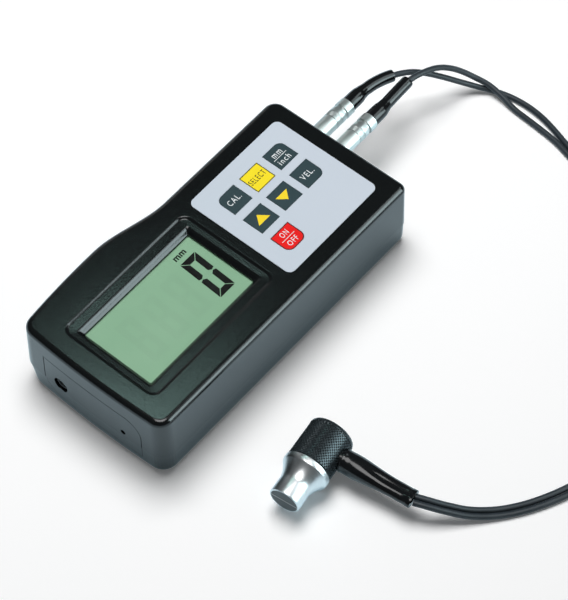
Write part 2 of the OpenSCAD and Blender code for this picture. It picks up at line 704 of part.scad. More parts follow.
// Cords of the lead, the coil of the rest of their length, and its tie
pair_gap = cord_d / 2 + 0.1;
module lead_out_transmit() cord(concat(transmit_start, beside(pair_out, pair_gap)));
module lead_out_receive() cord(concat(receive_start, beside(pair_out, -pair_gap)));
module lead_in_transmit() cord(beside(pair_in, -pair_gap));
module lead_in_receive() cord(beside(pair_in, pair_gap));
coil_h = coil_lanes * cord_d;
module lead_coil() color("#22272b") translate([coil_at.x, coil_at.y, tie_t])
    rotate_extrude() polygon([[coil_r + 1, 0], [coil_r + coil_h - 1, 0], [coil_r + coil_h, 1],
        [coil_r + coil_h, coil_h - 1], [coil_r + coil_h - 1, coil_h], [coil_r + 1, coil_h],
        [coil_r, coil_h - 1], [coil_r, 1]]);
module coil_tie() color("#101214") translate([coil_at.x, coil_at.y, 0]) rotate(tie_angle) difference() {
    block([coil_r - tie_t, -tie_w / 2, 0], [coil_r + coil_h + tie_t, tie_w / 2, coil_h + 2 * tie_t]);
    block([coil_r, -tie_w, tie_t], [coil_r + coil_h, tie_w, coil_h + tie_t]);
}

// Probe frame: local +Y runs from the nose's shoulder up into the cap
module at_probe() {
    translate([probe_at.x, probe_at.y, band_d / 2]) rotate(probe_turn) children();
}
module turned(profile) {
    rotate([-90, 0, 0]) rotate_extrude() polygon(profile);
}
module half_rod(d, side, from, to) {
    intersection() {
        rod_y(d, from, to);
        block([-d, from - 1, side > 0 ? barrier_t / 2 : -d], [d, to + 1, side > 0 ? d : -barrier_t / 2]);
    }
}
nose_bore_d = face_d - 2 * nose_wall;
face_y = -nose_l;
delay_end = face_y + delay_l;

// Knurled cap: a cup over the nose's spigot, with a side hole for the cord sleeve
module probe_cap() color("#17191b") at_probe() difference() {
    r = cap_d / 2;
    turned([[spigot_d / 2 + run_fit, 0], [r - 0.4, 0], [r, 0.4], [r, cap_l - 1.8], [r - 0.6, cap_l - 0.5],
        [r - 1.8, cap_l], [0, cap_l], [0, cap_l - 2], [spigot_d / 2 + run_fit, cap_l - 2]]);
    translate([0, probe_boot_at, 0]) rotate([0, 90, 0]) cylinder(d = probe_boot_neck_d + 2 * snug, h = cap_d);
}

// Steel nose: shoulder band, hollow flare and straight neck round the contact face
module probe_nose() color("#c9ccce") at_probe() difference() {
    flare_end = 0.56 * nose_l;
    flare = [for (i = [0:6]) let (t = i / 6)
        [face_d / 2 + (band_d / 2 - face_d / 2) * pow(1 - t, 1.7), -band_l - (flare_end - band_l) * t]];
    turned(concat([[0, spigot_l], [0, face_y], [face_d / 2, face_y]],
        [for (i = [6:-1:0]) flare[i]],
        [[band_d / 2, 0], [spigot_d / 2, 0], [spigot_d / 2, spigot_l]]));
    rod_y(nose_bore_d, face_y - 1, spigot_l + 1);
}

// Split delay line with its sound barrier, the crystal of each half and their damping block
module delay_line_a() color("#8a8d90") at_probe() half_rod(nose_bore_d - 2 * run_fit, 1, face_y, delay_end);
module delay_line_b() color("#8a8d90") at_probe() half_rod(nose_bore_d - 2 * run_fit, -1, face_y, delay_end);
module acoustic_barrier() color("#d9d2b8") at_probe() {
    half = sqrt(pow(nose_bore_d / 2 - run_fit, 2) - pow(barrier_t / 2, 2));
    block([-half, face_y, -barrier_t / 2], [half, delay_end + crystal_t, barrier_t / 2]);
}
module crystals() color("#d8c9a0") at_probe() for (side = [-1, 1])
    half_rod(nose_bore_d - 1, side, delay_end, delay_end + crystal_t);
module damping_block() color("#4b4038") at_probe()
    rod_y(nose_bore_d - 2 * run_fit, delay_end + crystal_t, spigot_l - 0.5);

// Cord sleeve of the probe: a neck in the cap, then shrunk-on tubing that narrows over the pair of cords
function oval(x, wide, tall) = [for (i = [0:19]) let (a = 18 * i) [x, wide / 2 * cos(a), tall / 2 * sin(a)]];
module probe_boot() color("#121416") at_probe() translate([0, probe_boot_at, 0]) {
    shoulder = cap_d / 2 + 0.3;
    neck_start = spigot_d / 2 - 2;
    rotate([0, 90, 0]) translate([0, 0, neck_start])
        cylinder(d = probe_boot_neck_d, h = shoulder + 0.5 - neck_start);
    loft([oval(shoulder, probe_boot_d, probe_boot_d), oval(shoulder + 6, probe_boot_d, probe_boot_d),
        oval(shoulder + 12, probe_boot_d * 0.9, probe_boot_d * 0.75),
        oval(probe_boot_l - 12, probe_boot_tip.x, probe_boot_tip.y),
        oval(probe_boot_l, probe_boot_tip.x, probe_boot_tip.y)]);
}

front_cover();
rear_cover();
battery_door();
end_panel();
case_screws();
keypad_film();
key_cal();
key_select();
key_unit();
key_up();
key_down();
key_velocity();
key_power();
key_switches();
lcd_window();
lcd_glass();
lcd_frame();
zebra_strips();
main_board();
board_screws();
processor_chip();
pulser_shield();
capacitors();
interface_jack();
battery_cell_1();
battery_cell_2();
battery_cell_3();
battery_cell_4();
battery_springs();
battery_plates();
socket_transmit();
socket_receive();
socket_nuts();
plug_transmit();
plug_receive();
sleeve_transmit();
sleeve_receive();
boot_transmit();
boot_receive();
lead_out_transmit();
lead_out_receive();
lead_in_transmit();
lead_in_receive();
lead_coil();
coil_tie();
probe_cap();
probe_nose();
delay_line_a();
delay_line_b();
acoustic_barrier();
crystals();
damping_block();
probe_boot();
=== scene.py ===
import math

import bmesh
import bpy
from mathutils import Matrix, Vector


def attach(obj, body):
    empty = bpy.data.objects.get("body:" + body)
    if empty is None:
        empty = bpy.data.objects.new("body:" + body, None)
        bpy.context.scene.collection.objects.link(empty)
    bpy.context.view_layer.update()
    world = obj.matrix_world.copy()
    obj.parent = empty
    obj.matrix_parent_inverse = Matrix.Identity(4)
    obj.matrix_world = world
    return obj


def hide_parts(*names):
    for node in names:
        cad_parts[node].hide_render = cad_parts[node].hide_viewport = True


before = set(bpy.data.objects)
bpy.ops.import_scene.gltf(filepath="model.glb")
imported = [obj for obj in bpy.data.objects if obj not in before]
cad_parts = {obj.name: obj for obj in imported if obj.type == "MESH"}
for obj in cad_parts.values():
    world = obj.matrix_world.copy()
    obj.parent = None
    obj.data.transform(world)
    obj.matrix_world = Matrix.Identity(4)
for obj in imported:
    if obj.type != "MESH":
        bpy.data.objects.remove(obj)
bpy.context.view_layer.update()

# Studio: a plain white floor, one soft lamp overhead for light and shadow, cards that only show as reflections,
# and a dim even surround. The camera stands as in the photograph.
scene = bpy.context.scene
scene.view_settings.view_transform = "Standard"


class Tone:
    """One socket of a material. Operators on it add Math nodes; node() adds any other node."""

    def __init__(self, tree, socket=None):
        self.tree = tree
        self.socket = socket

    def node(self, kind, sockets=None, out=0, **settings):
        made = self.tree.nodes.new("ShaderNode" + kind)
        for name, value in settings.items():
            setattr(made, name, value)
        for name, value in (sockets or {}).items():
            if isinstance(value, Tone):
                self.tree.links.new(value.socket, made.inputs[name])
            else:
                made.inputs[name].default_value = value
        return Tone(self.tree, made.outputs[out])

    def maths(self, operation, first, second=0.0):
        return self.node("Math", {0: first, 1: second}, operation=operation)

    def mix(self, share, first, second):
        return self.node("Mix", {0: share, 6: first, 7: second}, out=2, data_type="RGBA")

    def step(self, low, high):
        return self.node("MapRange", {"Value": self, "From Min": low, "From Max": high},
                         interpolation_type="SMOOTHSTEP")

    def place(self):
        return self.node("TexCoord", out="Object")

    def noise(self, scale, detail):
        return self.node("TexNoise", {"Vector": self.place(), "Scale": scale, "Detail": detail})

    def bump(self, height, strength, distance):
        return self.node("Bump", {"Height": height, "Strength": strength, "Distance": distance})

    def __add__(self, other):
        return self.maths("ADD", self, other)

    def __mul__(self, other):
        return self.maths("MULTIPLY", self, other)

    __radd__ = __add__
    __rmul__ = __mul__


def rgb(red, green, blue):
    """A colour as it is seen on a screen, 0 to 255, in the linear numbers that shaders use."""
    parts = [c / 255 for c in (red, green, blue)]
    return tuple(c / 12.92 if c <= 0.04045 else ((c + 0.055) / 1.055) ** 2.4 for c in parts) + (1.0,)


def surface(name, fixed, varying):
    """A material whose fixed sockets hold plain values and whose varying ones come from a function of its Tone."""
    material = bpy.data.materials.new(name)
    material.use_nodes = True
    shader = material.node_tree.nodes["Principled BSDF"]
    for socket, value in fixed.items():
        shader.inputs[socket].default_value = value
    for socket, tone in varying(Tone(material.node_tree)).items():
        material.node_tree.links.new(tone.socket, shader.inputs[socket])
    return material


def link_new(name, data):
    made = bpy.data.objects.new(name, data)
    scene.collection.objects.link(made)
    return made


def floor_paint(tone):
    seen = tone.node("LightPath", out="Is Camera Ray")
    mirrored = tone.node("LightPath", out="Is Glossy Ray")
    through = tone.node("LightPath", out="Is Transmission Ray")
    # Painted reflection: to glossy rays the floor is tinted teal and glows a little, which lightens the case walls and
    # metal where they mirror the shadowed floor.
    unseen = tone.mix(mirrored, (0.70, 0.71, 0.72, 1), (0.76, 0.92, 1, 1))
    reflection_glow = tone.mix(mirrored, (0, 0, 0, 1), (0.11, 0.16, 0.18, 1))
    return {"Base Color": tone.mix((seen + through).step(0.0, 1.0), unseen, (1, 1, 1, 1)),
            "Emission Color": tone.mix(seen, reflection_glow, (0.08, 0.08, 0.08, 1))}


floor_mesh = bmesh.new()
bmesh.ops.create_grid(floor_mesh, x_segments=8, y_segments=8, size=2.5)
floor_data = bpy.data.meshes.new("floor")
floor_mesh.to_mesh(floor_data)
floor_mesh.free()
floor_matt = {"Roughness": 0.95, "Specular IOR Level": 0.0, "Emission Strength": 1.0}
floor_data.materials.append(surface("floor_white", floor_matt, floor_paint))
link_new("floor", floor_data)

world = bpy.data.worlds.new("surround")
world.use_nodes = True
scene.world = world
world_tone = Tone(world.node_tree)
surround_dim = 0.08
surround_level = world_tone.node("LightPath", out="Is Camera Ray") * (1 - surround_dim) + surround_dim
world.node_tree.links.new(surround_level.socket, world.node_tree.nodes["Background"].inputs["Strength"])
world.node_tree.nodes["Background"].inputs["Color"].default_value = (0.88, 0.96, 1.0, 1.0)


def soft_box(name, at, aim, wide, tall, power, tint=(1.0, 1.0, 1.0)):
    lamp = bpy.data.lights.new(name, "AREA")
    lamp.shape = "RECTANGLE"
    lamp.size = wide
    lamp.size_y = tall
    lamp.energy = power
    lamp.color = tint
    made = link_new(name, lamp)
    made.location = at
    made.rotation_euler = (Vector(at) - Vector(aim)).to_track_quat("Z", "Y").to_euler()
    return made


soft_box("soft_lamp", (-0.23, 0.18, 1.18), (0.02, 0.0, 0.0), 0.65, 0.65, 14.0).visible_glossy = False
# Name, place, aim, width, height, power and tint of each card
for card in (("shine_card", (0.15, -0.15, 1.20), (0.02, 0.0, 0.0), 0.7, 0.7, 8.0),
             ("back_card", (0.50, 0.66, 0.92), (0.0, 0.05, 0.03), 0.7, 0.35, 2.4, (0.85, 0.98, 1.0)),
             ("left_card", (-0.90, 0.46, 0.48), (0.05, -0.03, 0.02), 0.3, 0.5, 0.45),
             ("sheen_card", (-0.43, 0.33, 1.20), (0.03, -0.07, 0.04), 0.16, 0.16, 0.5, (0.62, 1.0, 0.92)),
             ("edge_card", (1.10, 0.55, 0.50), (0.0, 0.0, 0.03), 0.7, 0.85, 12.5, (0.78, 0.97, 1.0))):
    soft_box(*card).visible_diffuse = False

looked_at = Vector((0.03355, 0.00055, 0.0385))
view_back = Vector((0.34697, -0.41676, 0.84018))
view_distance = 0.89257
camera = link_new("camera", bpy.data.cameras.new("camera"))
camera.data.lens = 132.0
camera.data.sensor_width = 36.0
camera.location = looked_at + view_distance * view_back
camera.rotation_euler = view_back.to_track_quat("Z", "Y").to_euler()
scene.camera = camera

# Twin lead: two thin coaxial cords in soft dark jackets, from the plugs' cord sleeves to the probe's.
# They lie side by side on the floor, and the length that isn't in use is wound in a coil held by a tie.
cord_r = 1.35
pair_offset = 1.45
coil_middle = Vector((142.0, 110.0, 0.0))
coil_inner_r = 10.5
coil_floor = 0.6
transmit_start = [(-11, 129, 24.5), (-8.5, 134, 23.6), (-5.5, 139, 21.8), (-1.5, 144.5, 18.3), (3, 150.5, 13.5),
                  (7.5, 156.5, 8.2), (13, 162, 4), (20, 166.5, 1.9), (28, 168.8, 1.4), (36, 169.3, 1.4),
                  (44, 168.5, 1.4), (52, 166.5, 1.4), (60, 163.8, 1.4)]
receive_start = [(-3, 129.5, 26.4), (-1.8, 135, 26.3), (-0.5, 141, 24.9), (0.8, 147, 22.2), (3, 153, 18),
                 (6, 158.5, 12.8), (10.5, 162.8, 8), (17, 165.3, 5.2), (24.5, 165.3, 3.2), (32.5, 164, 1.6),
                 (41, 163.2, 1.4), (50, 162.3, 1.4), (58.5, 161, 1.4)]
pair_out = [(69, 159.5, 1.4), (80, 156.5, 1.4), (92, 153, 1.4), (104, 149, 1.4), (116, 144.5, 1.4),
            (128, 139.3, 1.4), (140, 133, 1.6), (152.5, 125.3, 2)]
pair_in = [(160, 114.7, 10), (162.7, 106, 8.9), (165.2, 97, 6.4), (167.3, 88, 3.8), (169.2, 78, 1.8),
           (170.4, 67, 1.4), (171, 56, 1.4), (170.5, 45, 1.4), (168.8, 34, 1.4), (165.5, 23.5, 1.4),
           (161, 13.5, 1.4), (155.5, 4, 1.4), (148.8, -4.7, 1.8), (141.1, -12.5, 3.7), (133.1, -18.7, 7.2),
           (127.6, -22.3, 9.5), (121.94, -25.04, 10.35)]
# Lane (of four, from the inside) and layer that a cord has in each turn of the coil
transmit_turns = [(3, 0), (1, 0), (1, 1), (3, 1), (2, 2), (0, 2), (0, 3), (2, 3)]
receive_turns = [(2, 0), (0, 0), (0, 1), (2, 1), (3, 2), (1, 2), (1, 3), (3, 3)]
turn_points = 20
lane_hold = 0.84
crossing_turn = 3
path_spacing = 1.6


def coil_angle(point):
    return math.degrees(math.atan2(point[1] - coil_middle.y, point[0] - coil_middle.x))


coil_from = coil_angle(pair_out[-1])
coil_to = coil_angle(pair_in[0])


def eased(t):
    t = min(1.0, max(0.0, t))
    return t * t * (3 - 2 * t)


def beside(points, offset):
    """The same route, moved sideways to the left of its run."""
    points = [Vector(p) for p in points]
    moved = []
    for i, p in enumerate(points):
        run = points[min(i + 1, len(points) - 1)] - points[max(i - 1, 0)]
        moved.append(p + offset * Vector((-run.y, run.x, 0)).normalized())
    return moved


def wound(turns, shift_early):
    """Points of one cord in the coil, from where it comes in to where it leaves.

    A cord keeps its lane for most of a turn and changes it in the rest; where the two cross, one goes first."""
    whole = len(turns) + (coil_from - coil_to) / 360
    points = []
    for k in range(1, int(whole * turn_points)):
        done = k / turn_points
        now = min(int(done), len(turns) - 1)
        after = min(now + 1, len(turns) - 1)
        change = eased((done - now - lane_hold + shift_early * (now == crossing_turn)) / (1 - lane_hold))
        lane = turns[now][0] + (turns[after][0] - turns[now][0]) * change
        layer = turns[now][1] + (turns[after][1] - turns[now][1]) * change
        angle = math.radians(coil_from - 360 * done)
        reach = coil_inner_r + 2 * cord_r * (lane + 0.5)
        points.append(coil_middle + Vector((reach * math.cos(angle), reach * math.sin(angle),
                                            coil_floor + cord_r + 2 * cord_r * layer)))
    return points


def smooth_run(points, spacing):
    """Close points on one smooth curve through the given ones."""
    points = [Vector(p) for p in points]
    ends = [2 * points[0] - points[1]] + points + [2 * points[-1] - points[-2]]
    run = []
    for a, b, c, d in zip(ends, ends[1:], ends[2:], ends[3:]):
        count = max(1, round((c - b).length / spacing))
        for i in range(count):
            t = i / count
            run.append(0.5 * (2 * b + t * (c - a) + t * t * (2 * a - 5 * b + 4 * c - d)
                              + t ** 3 * (3 * b - a - 3 * c + d)))
    return run + [points[-1]]


def cord_jacket(tone):
    dull = tone.noise(90.0, 3.0)
    fine = tone.noise(2600.0, 2.0)
    return {"Base Color": tone.mix(dull, rgb(30, 37, 43), rgb(48, 56, 63)),
            "Roughness": 0.36 + dull * 0.22,
            "Normal": tone.bump(fine, 0.12, 0.0001)}


cord_material = surface("cord_jacket", {"Specular IOR Level": 0.5}, cord_jacket)


def cord_piece(name, points):
    data = bpy.data.curves.new(name, "CURVE")
    data.dimensions = "3D"
    data.bevel_depth = cord_r / 1000
    data.bevel_resolution = 4
    data.use_fill_caps = True
    run = smooth_run(points, path_spacing)
    spline = data.splines.new("POLY")
    spline.points.add(len(run) - 1)
    for point, p in zip(spline.points, run):
        point.co = (p.x / 1000, p.y / 1000, p.z / 1000, 1.0)
    data.materials.append(cord_material)
    made = link_new(name, data)
    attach(made, "probe_lead")
    length = sum((b - a).length for a, b in zip(run, run[1:])) / 1000
    return made, tuple(run[0] / 1000), length


cord_transmit, exit_transmit, length_transmit = cord_piece(
    "cord_transmit", beside(pair_in, -pair_offset)[::-1] + wound(transmit_turns, 0.14)[::-1]
    + beside(pair_out, pair_offset)[::-1] + [Vector(p) for p in transmit_start[::-1]])
cord_receive, exit_receive, length_receive = cord_piece(
    "cord_receive", beside(pair_in, pair_offset)[::-1] + wound(receive_turns, 0.0)[::-1]
    + beside(pair_out, -pair_offset)[::-1] + [Vector(p) for p in receive_start[::-1]])
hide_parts("lead_out_transmit", "lead_in_transmit", "lead_coil")
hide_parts("lead_out_receive", "lead_in_receive")

# Case plastic: near-black satin ABS with a fine moulded grain, for the two covers, the battery door and the
# end panel. The covers meet at a parting line low on the wall and are screwed together from below.


def case_grain(tone):
    grain = tone.noise(1700.0, 2.0)
    cloud = tone.noise(22.0, 4.0)
    return {"Base Color": tone.mix(cloud, rgb(9, 11, 12), rgb(15, 18, 19)),
            "Roughness": 0.11 + grain * 0.06 + cloud * 0.04,
            "Normal": tone.bump(grain, 0.34, 0.0001)}


case_plastic = surface("case_plastic", {"IOR": 1.52}, case_grain)


def dress(material, *nodes):
    """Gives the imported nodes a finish."""
    for node in nodes:
        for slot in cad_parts[node].material_slots:
            slot.material = material


dress(case_plastic, "rear_cover", "battery_door", "end_panel")


def mottled(scale, detail, dark, light, rough, more_rough):
    """A finish that drifts between two shades, and is rougher by up to more_rough where it is lighter."""
    def paint(tone):
        drift = tone.noise(scale, detail)
        return {"Base Color": tone.mix(drift, dark, light), "Roughness": rough + drift * more_rough}
    return paint


zinc_plate = mottled(700.0, 3.0, (0.34, 0.36, 0.38, 1), (0.52, 0.54, 0.56, 1), 0.25, 0.25)
dress(surface("screw_steel", {"Metallic": 1.0}, zinc_plate), "case_screws", "board_screws")

# Power: four cells in printed jackets lie side by side in the bay, each between a coil spring and a flat plate
# of spring steel.


def cell_print(tone):
    along = tone.node("SeparateXYZ", {"Vector": tone.place()}, out="Y")
    band = along.step(0.0335, 0.0337)
    worn = tone.noise(160.0, 5.0)
    print_colour = tone.mix(band, rgb(26, 28, 30), rgb(176, 122, 60))
    return {"Base Color": tone.mix(worn * 0.25, print_colour, rgb(120, 104, 84)),
            "Metallic": band * 0.8,
            "Roughness": 0.28 + worn * 0.2}


dress(surface("cell_jacket", {"Coat Weight": 0.2}, cell_print),
      "battery_cell_1", "battery_cell_2", "battery_cell_3", "battery_cell_4")
spring_wire = mottled(1200.0, 2.0, (0.55, 0.57, 0.58, 1), (0.78, 0.79, 0.8, 1), 0.16, 0.2)
dress(surface("contact_steel", {"Metallic": 1.0}, spring_wire), "battery_springs", "battery_plates")

# Board: glass-epoxy laminate under green resist, with a moulded chip, a tinned shield over the pulse circuit,
# two sleeved capacitors, seven push switches and the interface socket. Rubber strips join it to the display.


def resist_green(tone):
    tracks = tone.node("TexBrick", {"Vector": tone.place(), "Scale": 260.0, "Mortar Size": 0.05, "Color1": (0, 0, 0, 1),
                                    "Color2": (0.2, 0.2, 0.2, 1), "Mortar": (1, 1, 1, 1)}, out="Color")
    weave = tone.noise(800.0, 2.0)
    resist = tone.mix(weave, rgb(20, 82, 46), rgb(34, 104, 60))
    return {"Base Color": tone.mix(tracks, resist, rgb(58, 138, 84)), "Roughness": 0.3 + weave * 0.15}


def tin_coat(tone):
    spangle = tone.node("TexVoronoi", {"Vector": tone.place(), "Scale": 420.0}, out="Color")
    smear = tone.noise(260.0, 4.0)
    return {"Base Color": tone.mix(0.15, (0.66, 0.68, 0.7, 1), spangle), "Roughness": 0.2 + smear * 0.3}


def rubber_layers(tone):
    layers = tone.node("TexWave", {"Vector": tone.place(), "Scale": 1600.0}, bands_direction="Y")
    return {"Base Color": tone.mix(layers, rgb(60, 44, 46), rgb(198, 132, 136)), "Roughness": 0.6 + layers * 0.2}


dress(surface("board_laminate", {"Coat Weight": 0.3}, resist_green), "main_board")
moulded_epoxy = mottled(3000.0, 2.0, rgb(30, 31, 33), rgb(52, 53, 55), 0.45, 0.2)
dress(surface("chip_black", {}, moulded_epoxy), "processor_chip", "key_switches", "interface_jack")
dress(surface("tin_plate", {"Metallic": 1.0}, tin_coat), "pulser_shield")
can_sleeve = mottled(500.0, 3.0, rgb(36, 50, 76), rgb(52, 70, 102), 0.28, 0.15)
dress(surface("can_blue", {"Coat Weight": 0.4}, can_sleeve), "capacitors")
dress(surface("zebra_rubber", {}, rubber_layers), "zebra_strips")
frame_moulding = mottled(120.0, 3.0, rgb(206, 206, 198), rgb(222, 222, 216), 0.4, 0.2)
dress(surface("frame_white", {}, frame_moulding), "lcd_frame")

# Display: a reflective liquid-crystal cell, grey-green, under a clear acrylic window. One lit digit and its unit
# show dark; the segments that are off stay faintly visible, as on a real cell.
display_middle = (-1.2, -30.342)
cell_top = 34.1
window_top = 35.1
cell_gloss = {"Specular IOR Level": 0.3}
cell_green = mottled(45.0, 2.0, rgb(134, 177, 144), rgb(150, 190, 158), 0.35, 0.1)
off_green = mottled(45.0, 2.0, rgb(132, 174, 142), rgb(148, 187, 156), 0.35, 0.1)
lit_black = mottled(2500.0, 2.0, rgb(9, 8, 7), rgb(16, 13, 12), 0.35, 0.1)
dress(surface("lcd_cell", cell_gloss, cell_green), "lcd_glass")
segment_off = surface("segment_off", cell_gloss, off_green)
segment_lit = surface("segment_lit", cell_gloss, lit_black)
MM = 0.001
sharp_edge = 32.0


def settle(bm, name, material, body, replaced=(), sharp=sharp_edge):
    """Closes a mesh made in millimetres, links it, and lets it ride on its body."""
    bmesh.ops.remove_doubles(bm, verts=bm.verts, dist=1e-4)
    bmesh.ops.recalc_face_normals(bm, faces=bm.faces)
    bmesh.ops.scale(bm, vec=(MM, MM, MM), verts=bm.verts)
    data = bpy.data.meshes.new(name)
    bm.to_mesh(data)
    bm.free()
    for face in data.polygons:
        face.use_smooth = True
    data.set_sharp_from_angle(angle=math.radians(sharp))
    data.materials.append(material)
    made = link_new(name, data)
    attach(made, body)
    if replaced:
        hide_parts(*replaced)
    return made


def raise_faces(bm, height):
    """Turns flat faces into a thin solid of that height."""
    made = bmesh.ops.extrude_face_region(bm, geom=list(bm.faces), use_keep_orig=True)["geom"]
    bmesh.ops.translate(bm, vec=(0, 0, height), verts=[v for v in made if isinstance(v, bmesh.types.BMVert)])


# A seven-segment digit: its size and lean, the width of its bars and the gap at their ends, the middle of the last
# digit and the pitch to the one before
digit_w = 9.15
digit_h = 23.1
digit_slant = 0.05
bar = 2.95
bar_gap = 0.2
digit_x, digit_y = -0.45, -7.75
digit_pitch = 13.4


def segment_shapes():
    """Corners of each bar, across and up from the middle of the digit."""
    w, h, t, g = digit_w / 2, digit_h / 2, bar, bar_gap
    top = [(-w + g, h), (w - g, h), (w - g - t, h - t), (-w + g + t, h - t)]
    upper = [(w, h - g), (w, g + t * 0.18), (w - t * 0.5, g), (w - t, g + t * 0.35), (w - t, h - t - g)]
    middle = [(-w + t * 0.5 + g, 0), (-w + t + g, t * 0.42), (w - t - g, t * 0.42), (w - t * 0.5 - g, 0),
              (w - t - g, -t * 0.42), (-w + t + g, -t * 0.42)]
    return {"top": top, "upper_right": upper, "upper_left": [(-x, y) for x, y in upper], "middle": middle,
            "lower_right": [(x, -y) for x, y in upper], "lower_left": [(-x, -y) for x, y in upper],
            "bottom": [(x, -y) for x, y in top]}


def digit_bars(bm, names, middle_y):
    """Adds flat bars of one digit. Reading runs along +Y, and up is -X."""
    for name in names:
        corners = []
        for across, up in segment_shapes()[name]:
            corners.append(bm.verts.new((digit_x - up, middle_y + across + digit_slant * up, cell_top)))
        bm.faces.new(corners)


zero_bars = ("top", "upper_right", "upper_left", "lower_right", "lower_left", "bottom")
print_rise = 0.015
ghost_rise = 0.01
lit = bmesh.new()
digit_bars(lit, zero_bars, digit_y)
raise_faces(lit, print_rise)
settle(lit, "digit_zero", segment_lit, "gauge")
ghost = bmesh.new()
digit_bars(ghost, ("middle",), digit_y)
for place in (1, 2, 3):
    digit_bars(ghost, zero_bars + ("middle",), digit_y - digit_pitch * place)
raise_faces(ghost, ghost_rise)
settle(ghost, "digits_off", segment_off, "gauge")


def lettering(name, words, middle, along, tall, level, material, body, slant=0.0, bold=0.006, spread=1.25):
    """Thin printed words: along is their length in Y, tall their height in X."""
    data = bpy.data.curves.new(name, "FONT")
    data.body = words
    data.resolution_u = 5
    data.offset = bold
    data.space_character = spread
    typed = link_new(name + "_typed", data)
    flat = bpy.data.meshes.new_from_object(typed.evaluated_get(bpy.context.evaluated_depsgraph_get()))
    bpy.data.objects.remove(typed)
    bm = bmesh.new()
    bm.from_mesh(flat)
    bpy.data.meshes.remove(flat)
    bmesh.ops.remove_doubles(bm, verts=bm.verts, dist=1e-5)
    low = [min(v.co[i] for v in bm.verts) for i in (0, 1)]
    high = [max(v.co[i] for v in bm.verts) for i in (0, 1)]
    bmesh.ops.translate(bm, vec=(-(low[0] + high[0]) / 2, -(low[1] + high[1]) / 2, 0), verts=bm.verts)
    bmesh.ops.scale(bm, vec=(along / (high[0] - low[0]), tall / (high[1] - low[1]), 1), verts=bm.verts)
    lean = Matrix(((1, slant, 0, 0), (0, 1, 0, 0), (0, 0, 1, 0), (0, 0, 0, 1)))
    bmesh.ops.transform(bm, matrix=lean, verts=bm.verts)
    bmesh.ops.rotate(bm, cent=(0, 0, 0), matrix=Matrix.Rotation(math.radians(90), 3, "Z"), verts=bm.verts)
    bmesh.ops.translate(bm, vec=(middle[0], middle[1], level), verts=bm.verts)
    raise_faces(bm, print_rise)
    settle(bm, name, material, body)


lettering("unit_sign", "mm", (-15.35, -8.1), 6.6, 2.2, cell_top, segment_lit, "gauge",
          slant=0.05, bold=0.034, spread=1.05)


def rounded_ring(wide, long, r, z, middle=(0.0, 0.0), steps=8):
    """Points round a rectangle with rounded corners."""
    points = []
    for quarter, (sx, sy) in enumerate(((1, -1), (1, 1), (-1, 1), (-1, -1))):
        for k in range(steps + 1):
            angle = math.radians(-90 + 90 * quarter + 90 * k / steps)
            points.append(Vector((middle[0] + sx * (wide / 2 - r) + r * math.cos(angle),
                                  middle[1] + sy * (long / 2 - r) + r * math.sin(angle), z)))
    return points


def first_ring(bm, points):
    ring = [bm.verts.new(p) for p in points]
    for a, b in zip(ring, ring[1:] + ring[:1]):
        bm.edges.new((a, b))
    return ring


def ring_edges(bm, ring):
    return [bm.edges.get((a, b)) for a, b in zip(ring, ring[1:] + ring[:1])]


def grow_ring(bm, ring, points):
    """Extrudes a ring of edges and moves the new ring to the given points."""
    made = bmesh.ops.extrude_edge_only(bm, edges=ring_edges(bm, ring))["geom"]
    fresh = {v for v in made if isinstance(v, bmesh.types.BMVert)}
    grown = [next(e.other_vert(v) for e in v.link_edges if e.other_vert(v) in fresh) for v in ring]
    for vert, point in zip(grown, points):
        vert.co = point
    return grown


def fill(bm, *rings):
    """Closes a flat area between rings."""
    edges = [edge for ring in rings for edge in ring_edges(bm, ring)]
    bmesh.ops.triangle_fill(bm, use_beauty=True, edges=edges, normal=(0, 0, 1))


def clear_acrylic(tone):
    wiped = tone.noise(35.0, 3.0)
    gloss = tone.node("LayerWeight", {"Blend": 0.2}, out="Fresnel")
    return {"Roughness": 0.02 + wiped * 0.03, "Alpha": gloss * 0.4 + wiped * 0.01}


window_clear = surface("window_clear", {"Base Color": (0.02, 0.03, 0.03, 1), "IOR": 1.49}, clear_acrylic)
pane_w, pane_l, pane_r = 41.0, 68.5, 1.0
pane_edge = 0.15
pane_low = cell_top + 0.03


def pane_line(inset, z):
    return rounded_ring(pane_w - 2 * inset, pane_l - 2 * inset, pane_r, z, display_middle)


pane = bmesh.new()
pane_ring = first_ring(pane, pane_line(pane_edge, pane_low))
fill(pane, pane_ring)
for inset, z in ((0, pane_low + pane_edge), (0, window_top - pane_edge), (pane_edge, window_top)):
    pane_ring = grow_ring(pane, pane_ring, pane_line(inset, z))
fill(pane, pane_ring)
settle(pane, "display_window", window_clear, "gauge", ["lcd_window"])

# Front cover: one moulding with a rounded rim, straight on the right and swelling in an S-curve on the left.
# A shallow dish and a bevel lead down to the display; the keypad film lies in a recess with a well for each key.
case_near = -78.0
case_far = 78.0
case_top = 38.5
shell_under = 35.9
parting = 13.0
right_x = 37.0
right_draw = 1.5
waist_x = -36.8
swell_out = 6.2
swell_back = 0.45
swell_start, swell_full = 6.532, -30.342
near_bow = 1.0
near_r = 6.5
far_left_r = 6.0
far_right_r = 3.5
inner_r = 0.4
rim_r = 2.8
wall_low, wall_top = 1.4, 2.5
skirt = 0.78
parting_nick = 0.36
key_w = 10.597
key_l = 11.195
film_y = 40.404
key_rows = (-14.305, 0.496, 15.297)
key_columns = (25.506, 40.519, 55.532)


def left_wall(y):
    if y > swell_start:
        swell = 0.0
    elif y > swell_full:
        swell = eased((swell_start - y) / (swell_start - swell_full))
    else:
        swell = 1 - swell_back * ((swell_full - y) / (swell_full - case_near)) ** 2
    return waist_x - swell_out * swell


